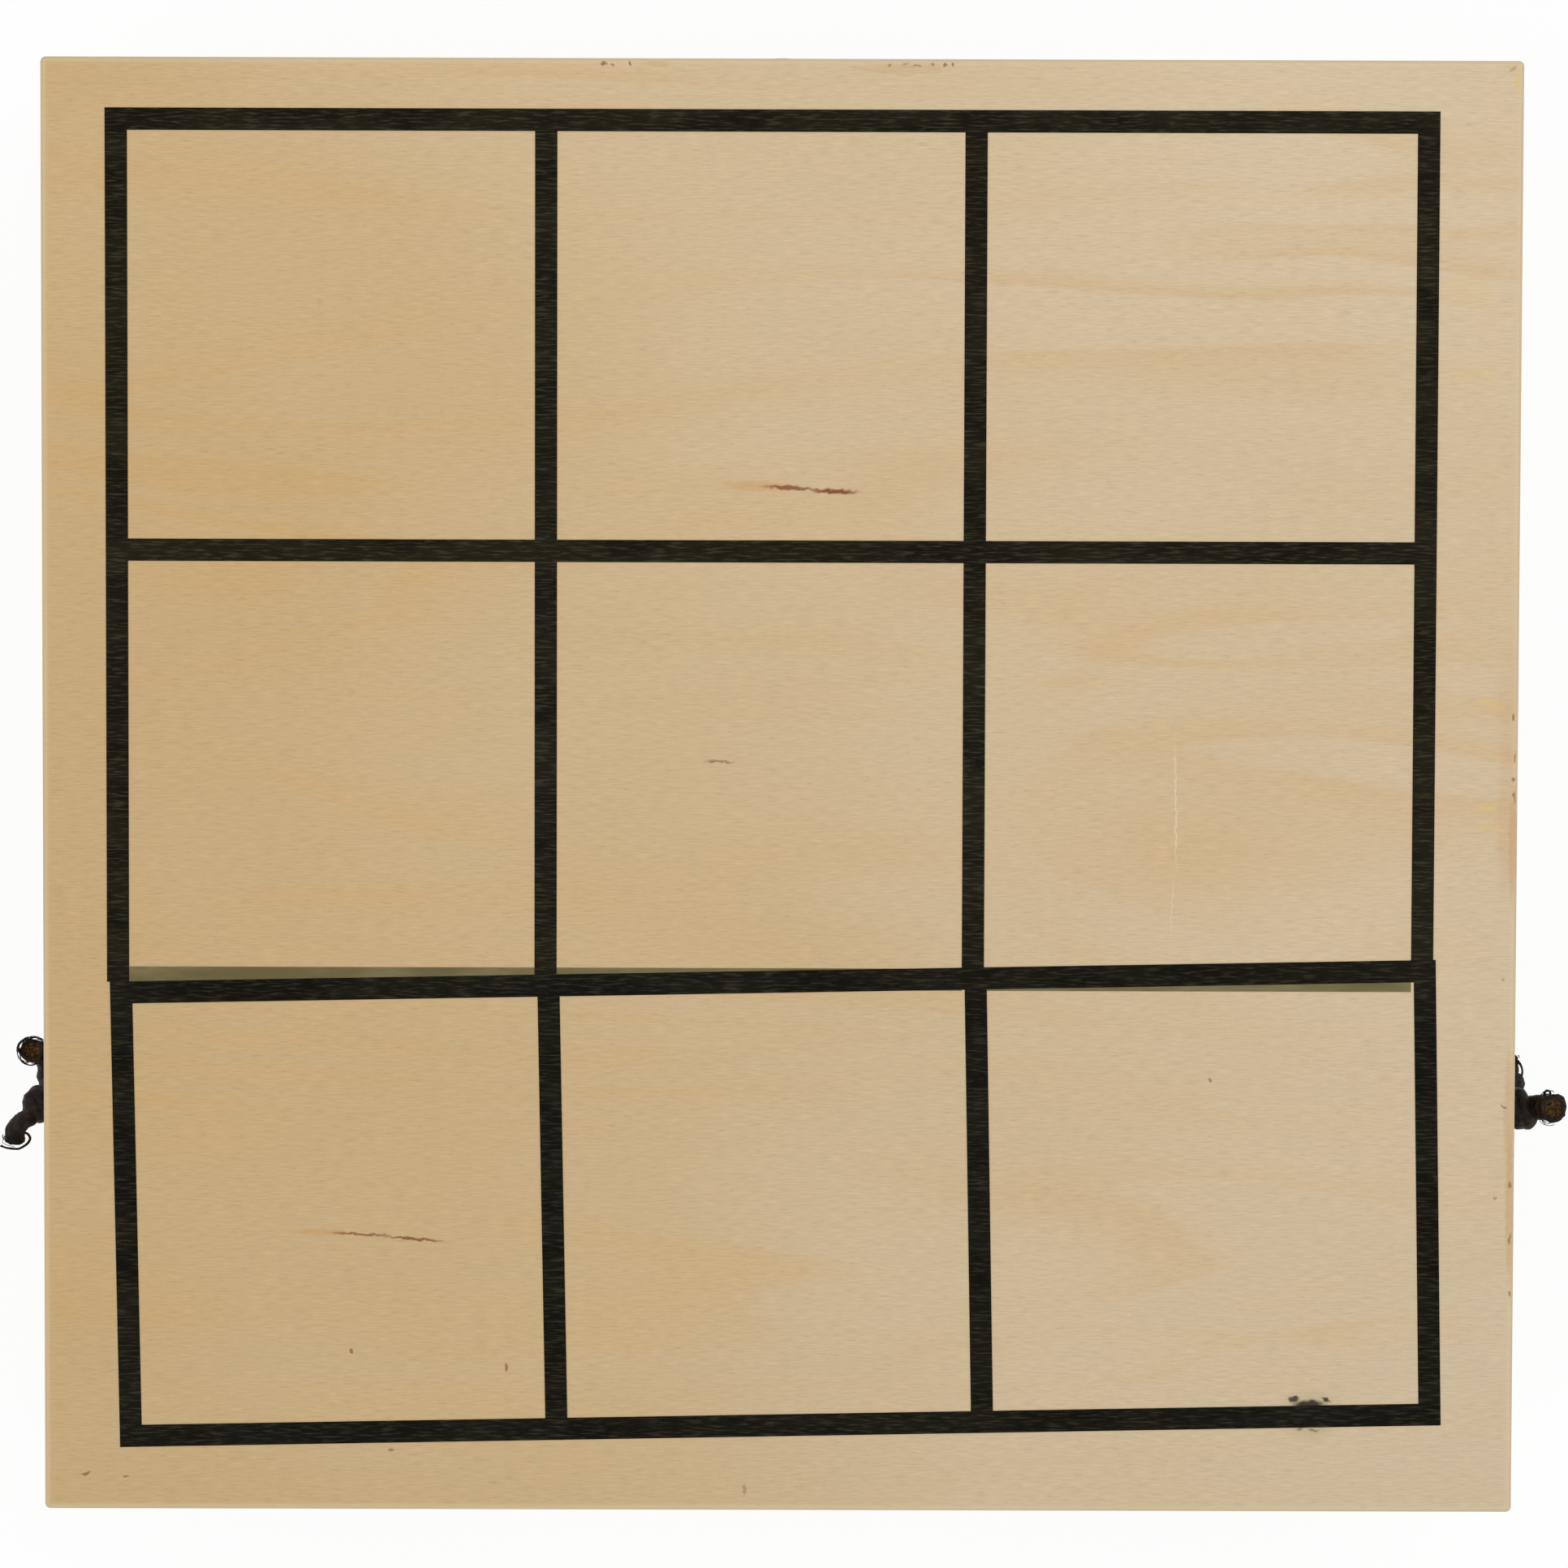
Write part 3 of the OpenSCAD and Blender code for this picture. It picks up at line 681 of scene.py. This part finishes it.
def veneer(shader, shift=0.0, figured=False):
    """The face veneer's colour and fibres, with its grain along X. Painted light makes it paler towards
    +X and painted shade darker towards -Y.
    """
    grain, fibres = fine_grain(shader, "X", shift)
    # Painted light: the face turns from the darker left colour to the paler right colour across X
    across = shader.remap(shader.part(shader.here, "X"), -HALF_W, HALF_W, 0, 1, "LINEAR")
    drift = shader.grain((90 * MM, 60 * MM, 60 * MM), 2, 0.3, shift)
    across = shader.math("ADD", across, shader.remap(drift, 0.3, 0.7, -0.18, 0.18, "LINEAR"))
    colour = shader.mix(across, FACE_PAINTED_SHADE_LEFT, FACE_PAINTED_LIGHT_RIGHT)
    # Painted shade: the face darkens towards -Y
    down = shader.remap(shader.part(shader.here, "Y"), -HALF_D, HALF_D, 0.925, 1.005, "LINEAR")
    colour = shader.shade(colour, down)
    bands = growth_bands(shader, "X", shift)
    fading = shader.grain((60 * MM, 30 * MM, 30 * MM), 2, 0, shift + 5)
    share = shader.math("MULTIPLY", bands, shader.remap(fading, 0.38, 0.66, 0.04, 0.27))
    colour = shader.mix(share, colour, FACE_BAND)
    if figured:
        cover = shader.math("MULTIPLY", arched_figure(shader), FIGURE_COVER)
        colour = shader.mix(cover, colour, FACE_BAND)
    return shader.shade(colour, grain), fibres


def sanded(shader, colour, fibres):
    """The finish of a bare, sanded panel."""
    return shader.finish(
        Base_Color=colour,
        Roughness=shader.remap(fibres, 0.3, 0.7, 0.5, 0.62),
        Normal=shader.bump(fibres, 0.04 * MM, 0.5),
        Specular_IOR_Level=0.2,
    )


def plywood(name, low, shift):
    """A plain plywood panel with veneer faces and plied edges."""
    shader = Shader(name)
    colour, fibres = veneer(shader, shift)
    colour = shader.mix(shader.facing("Z"), ply_edges(shader, low), colour)
    return sanded(shader, colour, fibres)


FLECK = srgb(122, 62, 28)
FLECK_HAZE = srgb(196, 150, 92)
PALE_SCRATCH = srgb(222, 204, 170)
STAIN = srgb(182, 130, 66)
SPECK = srgb(128, 84, 44)
INK_BLOT = srgb(26, 24, 17)
INK_WORN = srgb(96, 90, 70)
BLOT_HALO = srgb(158, 148, 112)
YELLOW = srgb(214, 184, 108)

# Marks on the lid's face in millimetres: centre, half length, half width, turn in degrees, colour
# and cover. Long ones lie along the grain as the flecks do in the photograph.
LID_MARKS = [
    ((-3.0, 41.0), 6.0, 0.8, -2, FLECK_HAZE, 0.5),
    ((1.2, 40.75), 4.2, 0.34, -3, FLECK, 0.85),
    ((7.2, 40.3), 3.6, 0.42, -2, FLECK, 0.95),
    ((-62.5, -60.5), 5.2, 0.5, -1, FLECK_HAZE, 0.5),
    ((-57.0, -60.8), 4.6, 0.24, -3, FLECK, 0.75),
    ((-49.6, -61.4), 4.4, 0.26, -4, FLECK, 0.85),
    ((-8.3, 3.7), 2.4, 0.2, 0, FLECK, 0.6),
    ((53.6, -2.0), 0.16, 9.6, 1, PALE_SCRATCH, 0.6),
    ((53.2, -16.0), 0.14, 5.0, -2, PALE_SCRATCH, 0.4),
    ((72.6, -85.2), 4.4, 3.6, 0, BLOT_HALO, 0.4),
    ((72.2, -83.8), 2.5, 0.8, 0, INK_BLOT, 0.96),
    ((70.2, -83.0), 0.9, 0.5, 20, INK_BLOT, 0.9),
    ((74.6, -83.1), 0.7, 0.4, -30, INK_BLOT, 0.9),
    ((71.2, -87.0), 0.8, 0.25, 10, INK_BLOT, 0.5),
    ((72.9, -87.3), 0.8, 0.25, -5, INK_BLOT, 0.5),
    ((98.6, 12.0), 2.2, 9.0, 0, STAIN, 0.12),
    ((98.6, -4.0), 1.8, 12.0, 0, STAIN, 0.16),
    ((99.4, -8.0), 0.7, 9.0, 0, STAIN, 0.3),
    ((99.2, -44.0), 0.9, 10.0, 0, STAIN, 0.3),
    ((99.4, -57.0), 0.7, 12.0, 0, STAIN, 0.35),
    ((99.3, 10.0), 0.24, 0.5, 0, SPECK, 0.7),
    ((99.5, 4.6), 0.2, 0.9, 0, SPECK, 0.6),
    ((99.4, 1.6), 0.24, 0.4, 0, SPECK, 0.7),
    ((99.5, -0.8), 0.2, 1.0, 0, SPECK, 0.65),
    ((98.2, -25.6), 0.3, 0.3, 0, SPECK, 0.4),
    ((98.4, -43.0), 0.7, 0.2, -30, SPECK, 0.75),
    ((97.4, -55.4), 0.4, 0.2, -20, SPECK, 0.55),
    ((99.4, -53.6), 0.22, 0.6, 0, SPECK, 0.65),
    ((99.4, -61.0), 0.2, 1.0, 0, SPECK, 0.65),
    ((99.4, -68.6), 0.24, 0.5, 0, SPECK, 0.7),
    ((96.0, 12.1), 2.0, 0.5, 0, YELLOW, 0.45),
    ((96.8, 11.2), 1.4, 0.35, 0, YELLOW, 0.45),
    ((95.8, -2.4), 1.8, 0.45, 0, YELLOW, 0.5),
    ((96.2, -5.0), 2.0, 0.35, 0, YELLOW, 0.45),
    ((92.6, 68.0), 5.0, 2.2, 0, YELLOW, 0.16),
    ((93.4, 56.4), 4.0, 0.9, 0, YELLOW, 0.2),
    ((98.4, 97.4), 0.7, 0.3, 35, STAIN, 0.6),
    ((99.2, 96.0), 0.5, 1.6, 0, YELLOW, 0.5),
    ((-24.0, 97.8), 0.6, 0.3, 10, SPECK, 0.8),
    ((-22.9, 97.6), 0.35, 0.2, 0, SPECK, 0.7),
    ((-20.6, 97.8), 0.2, 0.4, 0, SPECK, 0.75),
    ((-17.0, 97.7), 2.0, 0.5, 0, STAIN, 0.2),
    ((14.4, 97.6), 0.25, 0.25, 0, SPECK, 0.6),
    ((16.6, 97.7), 0.5, 0.16, 0, SPECK, 0.5),
    ((18.2, 97.6), 0.8, 0.16, 0, SPECK, 0.6),
    ((20.2, 97.7), 0.4, 0.2, 0, SPECK, 0.6),
    ((22.0, 97.7), 0.3, 0.3, 0, SPECK, 0.8),
    ((23.0, 97.7), 0.25, 0.35, 0, SPECK, 0.8),
    ((16.0, 97.2), 7.0, 0.9, 0, STAIN, 0.18),
    ((-94.4, -93.7), 0.9, 0.24, 20, SPECK, 0.8),
    ((-89.0, -93.9), 0.5, 0.24, 0, SPECK, 0.75),
    ((-58.2, -76.8), 0.3, 0.4, 0, SPECK, 0.8),
    ((-52.8, -90.3), 0.5, 0.24, 0, SPECK, 0.7),
    ((-37.1, -79.0), 0.22, 0.7, -10, FLECK, 0.7),
    ((-4.6, -95.6), 0.3, 0.9, 0, SPECK, 0.45),
    ((58.6, -39.4), 0.3, 0.3, 0, SPECK, 0.7),
]


def lid_plywood(name):
    """The lid's panel: veneer with its own flecks, stains and specks, and a paler sanded arris."""
    shader = Shader(name)
    colour, fibres = veneer(shader, figured=True)
    x = shader.math("ABSOLUTE", shader.part(shader.here, "X"))
    y = shader.math("ABSOLUTE", shader.part(shader.here, "Y"))
    from_side = shader.math("SUBTRACT", HALF_W, x)
    from_front = shader.math("SUBTRACT", HALF_D, y)
    edge = shader.math("MINIMUM", from_side, from_front)
    colour = shader.mix(shader.remap(edge, 0.2 * MM, 1.1 * MM, 0.55, 0), colour, SANDED)
    ragged = shader.node("TexNoise", {"Vector": shader.here, "Scale": 1 / (0.9 * MM), "Detail": 3.0})
    shift = shader.node(
        "VectorMath", {0: ragged.outputs["Color"], 1: (0.5, 0.5, 0.5)}, operation="SUBTRACT"
    ).outputs[0]
    shift = shader.shade(shift, 0.9 * MM)
    place = shader.node("VectorMath", {0: shader.here, 1: shift}, operation="ADD").outputs[0]
    on_top = shader.remap(shader.part(shader.here, "Z"), lid_low.z, lid_top.z - 0.6 * MM)
    for (mark_x, mark_y), half_length, half_width, turn, tint, cover in LID_MARKS:
        inputs = {"Vector": place, "Location": (mark_x * MM, mark_y * MM, 0)}
        inputs["Rotation"] = (0, 0, math.radians(turn))
        inputs["Scale"] = (half_length * MM, half_width * MM, 1)
        local = shader.node("Mapping", inputs, vector_type="TEXTURE").outputs[0]
        far = shader.node("VectorMath", {0: local}, operation="LENGTH").outputs["Value"]
        mask = shader.math("MULTIPLY", shader.remap(far, 0.45, 1.15, cover, 0), on_top)
        colour = shader.mix(mask, colour, tint)
    colour = shader.mix(shader.facing("Z"), ply_edges(shader, lid_low.z), colour)
    return sanded(shader, colour, fibres)


def printed_ink(name, dark, light, cover):
    """Ink that has sunk into the veneer: the grain shows through as short paler streaks."""
    shader = Shader(name)
    fibres = shader.grain((2.6 * MM, 0.26 * MM, 1), 3)
    clouds = shader.grain((16 * MM, 5 * MM, 1), 2, 0.4)
    gaps = shader.math("MULTIPLY", shader.remap(fibres, 0.46, 0.72), cover)
    colour = shader.mix(shader.remap(clouds, 0.35, 0.65), dark, light)
    colour = shader.mix(gaps, colour, INK_WORN)
    return shader.finish(
        Base_Color=colour,
        Roughness=shader.remap(fibres, 0.3, 0.7, 0.48, 0.64),
        Normal=shader.bump(fibres, 0.03 * MM, 0.6),
        Specular_IOR_Level=0.04,
    )


def aged_brass(name, shift=0.0):
    """Brass gone dull: brown in the hollows, brighter where hands rub it, with fine scratches."""
    shader = Shader(name)
    tarnish = shader.grain((5 * MM,) * 3, 5, 0.2, shift)
    spots = shader.grain((0.5 * MM,) * 3, 3, 0, shift)
    scratches = shader.grain((0.12 * MM, 2.4 * MM, 0.12 * MM), 2, 0, shift)
    colour = shader.mix(shader.remap(tarnish, 0.34, 0.72), srgb(184, 154, 92), srgb(146, 116, 64))
    colour = shader.mix(shader.remap(spots, 0.62, 0.78, 0, 0.55), colour, srgb(92, 68, 38))
    colour = shader.shade(colour, shader.remap(scratches, 0.3, 0.7, 0.92, 1.06, "LINEAR"))
    return shader.finish(
        Base_Color=colour,
        Metallic=1.0,
        Roughness=shader.remap(tarnish, 0.3, 0.7, 0.3, 0.46),
        Normal=shader.bump(scratches, 0.02 * MM, 0.5),
    )


# A row of men: its box, how many lie in it, and their spacing; and the rings that the lathe leaves
MEN_LOW, MEN_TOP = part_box("light_men")
MEN_COUNT = 9
MEN_PITCH = (MEN_TOP.x - MEN_LOW.x - (MEN_TOP.y - MEN_LOW.y)) / (MEN_COUNT - 1)
LATHE_RING = 0.55 * MM


def turned_man(name, pale, deep, node):
    """Turned wooden men: the grain crosses each face its own way, with faint rings from the lathe."""
    low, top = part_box(node)
    middle = (low + top) / 2
    shader = Shader(name)
    along = shader.math("SUBTRACT", shader.part(shader.here, "X"), middle.x)
    which = shader.math("ROUND", shader.math("DIVIDE", along, MEN_PITCH))
    own = shader.node("TexWhiteNoise", {"W": which}, noise_dimensions="1D").outputs["Value"]
    local_x = shader.math("SUBTRACT", along, shader.math("MULTIPLY", which, MEN_PITCH))
    local_y = shader.math("SUBTRACT", shader.part(shader.here, "Y"), middle.y)
    flat = shader.node("CombineXYZ", {0: local_x, 1: local_y, 2: 0.0}).outputs[0]
    far = shader.node("VectorMath", {0: flat}, operation="LENGTH").outputs["Value"]
    rings = shader.math("SINE", shader.math("MULTIPLY", far, 2 * math.pi / LATHE_RING))
    angle = shader.math("MULTIPLY", own, math.tau)
    inputs = {"Vector": flat, "Axis": (0, 0, 1), "Angle": angle}
    turned = shader.node("VectorRotate", inputs).outputs[0]
    apart = shader.node("CombineXYZ", {0: 0.0, 1: 0.0, 2: shader.math("MULTIPLY", own, 0.7)})
    place = shader.node("VectorMath", {0: turned, 1: apart.outputs[0]}, operation="ADD").outputs[0]
    streaks = shader.noise(shader.stretched((7 * MM, 0.6 * MM, 3 * MM), 0, place), 3, 0.3)
    fibres = shader.noise(shader.stretched((2.5 * MM, 0.16 * MM, 1 * MM), 0, place), 2)
    colour = shader.mix(shader.remap(streaks, 0.32, 0.68), pale, deep)
    colour = shader.shade(colour, shader.remap(fibres, 0.3, 0.7, 0.93, 1.06, "LINEAR"))
    colour = shader.shade(colour, shader.remap(own, 0, 1, 0.92, 1.07, "LINEAR"))
    height = shader.math("ADD", fibres, shader.math("MULTIPLY", rings, 0.18))
    return shader.finish(
        Base_Color=colour,
        Roughness=shader.remap(fibres, 0.3, 0.7, 0.36, 0.5),
        Normal=shader.bump(height, 0.05 * MM, 0.6),
    )


# Fine roundings of sharp edges
PANEL_ROUNDING = 0.1 * MM
RAIL_ROUNDING = 0.2 * MM
DIVIDER_ROUNDING = 0.25 * MM
METAL_ROUNDING = 0.08 * MM


def dress(node, material, bevel=0.0):
    """Gives a CAD node its material and, where wanted, a fine rounding of its sharp edges."""
    piece = nodes[node]
    piece.data.materials.clear()
    piece.data.materials.append(material)
    if bevel:
        weld = piece.modifiers.new("weld", "WELD")
        weld.merge_threshold = 0.002 * MM
        rounding = piece.modifiers.new("rounding", "BEVEL")
        rounding.width = bevel
        rounding.segments = 2
        rounding.limit_method = "ANGLE"
        rounding.angle_limit = math.radians(40)


def dress_wood():
    """The panels, the divider and the rails; a rail has the axis of its grain and how warm it is."""
    dress("lid_panel", lid_plywood("lid_face_plywood"))
    dress("base_panel", plywood("base_plywood", base_low.z, 3.1), PANEL_ROUNDING)
    rails = [
        ("lid_latch_rail", "X", 0.0), ("lid_hinge_rail", "X", 0.12),
        ("lid_left_rail", "Y", 0.06), ("lid_right_rail", "Y", 0.0),
        ("base_latch_rail", "X", 0.08), ("base_hinge_rail", "X", 0.0),
        ("base_left_rail", "Y", 0.0), ("base_right_rail", "Y", 0.14),
    ]
    for i, (node, axis, warmth) in enumerate(rails):
        dress(node, solid_birch(node + "_birch", axis, 1.9 * i, warmth), RAIL_ROUNDING)
    dress("tray_divider", solid_birch("divider_birch", "X", 23.0), DIVIDER_ROUNDING)


def dress_print():
    dress("grid_upper_pull", printed_ink("printed_ink_upper", srgb(15, 13, 4), srgb(28, 25, 14), 0.28))
    dress("grid_lower_pull", printed_ink("printed_ink_lower", srgb(10, 8, 3), srgb(20, 18, 10), 0.22))
    dress("grid_ghost", printed_ink("ghost_ink", srgb(104, 94, 62), srgb(122, 112, 78), 0.5))
    dress("morris_board", printed_ink("morris_ink", srgb(22, 20, 13), srgb(34, 31, 23), 0.3))


def dress_metal():
    for i, node in enumerate((
        "hinge_lid_leaves", "hinge_base_leaves", "hinge_pins", "hinge_lid_screws",
        "hinge_base_screws", "latch_hook", "latch_pivot_screw", "latch_washer", "latch_stud",
    )):
        dress(node, aged_brass(node + "_brass", 1.3 * i), METAL_ROUNDING)


def dress_men():
    light = turned_man("light_turned_wood", srgb(220, 194, 150), srgb(203, 169, 118), "light_men")
    dress("light_men", light)
    dark = turned_man("dark_turned_wood", srgb(92, 60, 38), srgb(62, 38, 24), "dark_men")
    dress("dark_men", dark)


# The floor: half its side, its gap under the box, and how far it is plain white to the eye; the rest
# of it takes the box's shadow
FLOOR_HALF = 3
FLOOR_GAP = 0.2 * MM
FLOOR_WHITENESS = 0.92


def make_floor():
    """A plain pale floor just under the box, white to the camera where nothing shades it."""
    shader = Shader("pale_floor")
    shader.finish(Base_Color=(0.95, 0.95, 0.95, 1), Roughness=0.9, Specular_IOR_Level=0.0)
    path = shader.node("LightPath")
    seen = shader.math("MAXIMUM", path.outputs["Is Camera Ray"], path.outputs["Is Glossy Ray"])
    seen = shader.math("MAXIMUM", seen, path.outputs["Is Transmission Ray"])
    white = shader.node("Emission").outputs[0]
    share = shader.math("MULTIPLY", seen, FLOOR_WHITENESS)
    inputs = {0: share, 1: shader.surface.outputs[0], 2: white}
    out = shader.tree.nodes["Material Output"]
    shader.put(out.inputs["Surface"], shader.node("MixShader", inputs).outputs[0])
    mesh = bmesh.new()
    bmesh.ops.create_grid(mesh, x_segments=2, y_segments=2, size=FLOOR_HALF)
    floor = object_from(mesh, "floor", [shader.material])
    floor.location.z = -FLOOR_GAP


# The light: how strong it is all round, and each lamp's name, place, diameter and power
AMBIENT = 0.6
LAMPS = [
    ("key", (0.45, 0.35, 1.6), 1.5, 10),
    ("fill", (-0.8, -0.6, 1.3), 1.5, 5),
]


def add_lamp(name, place, size, power):
    """A round soft lamp that points at the box."""
    data = bpy.data.lights.new(name, "AREA")
    data.shape = "DISK"
    data.size = size
    data.energy = power
    lamp = bpy.data.objects.new(name, data)
    scene.collection.objects.link(lamp)
    lamp.location = place
    lamp.rotation_euler = (-Vector(place)).to_track_quat("-Z", "Y").to_euler()


def make_light():
    """Even light all round, which the camera and reflections see as plain white, and the lamps."""
    world = bpy.data.worlds.new("studio")
    world.use_nodes = True
    scene.world = world
    tree = world.node_tree
    tree.nodes.clear()
    path = tree.nodes.new("ShaderNodeLightPath")
    seen = path.outputs["Is Camera Ray"]
    for ray in ("Is Glossy Ray", "Is Transmission Ray"):
        either = tree.nodes.new("ShaderNodeMath")
        either.operation = "MAXIMUM"
        tree.links.new(seen, either.inputs[0])
        tree.links.new(path.outputs[ray], either.inputs[1])
        seen = either.outputs[0]
    choose = tree.nodes.new("ShaderNodeMixShader")
    tree.links.new(seen, choose.inputs[0])
    for i, strength in enumerate((AMBIENT, 1.0)):
        white = tree.nodes.new("ShaderNodeBackground")
        white.inputs["Color"].default_value = (1, 1, 1, 1)
        white.inputs["Strength"].default_value = strength
        tree.links.new(white.outputs[0], choose.inputs[1 + i])
    out = tree.nodes.new("ShaderNodeOutputWorld")
    tree.links.new(choose.outputs[0], out.inputs[0])
    for lamp in LAMPS:
        add_lamp(*lamp)


dress_wood()
dress_print()
dress_metal()
dress_men()
make_floor()
make_light()
scene.view_settings.view_transform = "Standard"
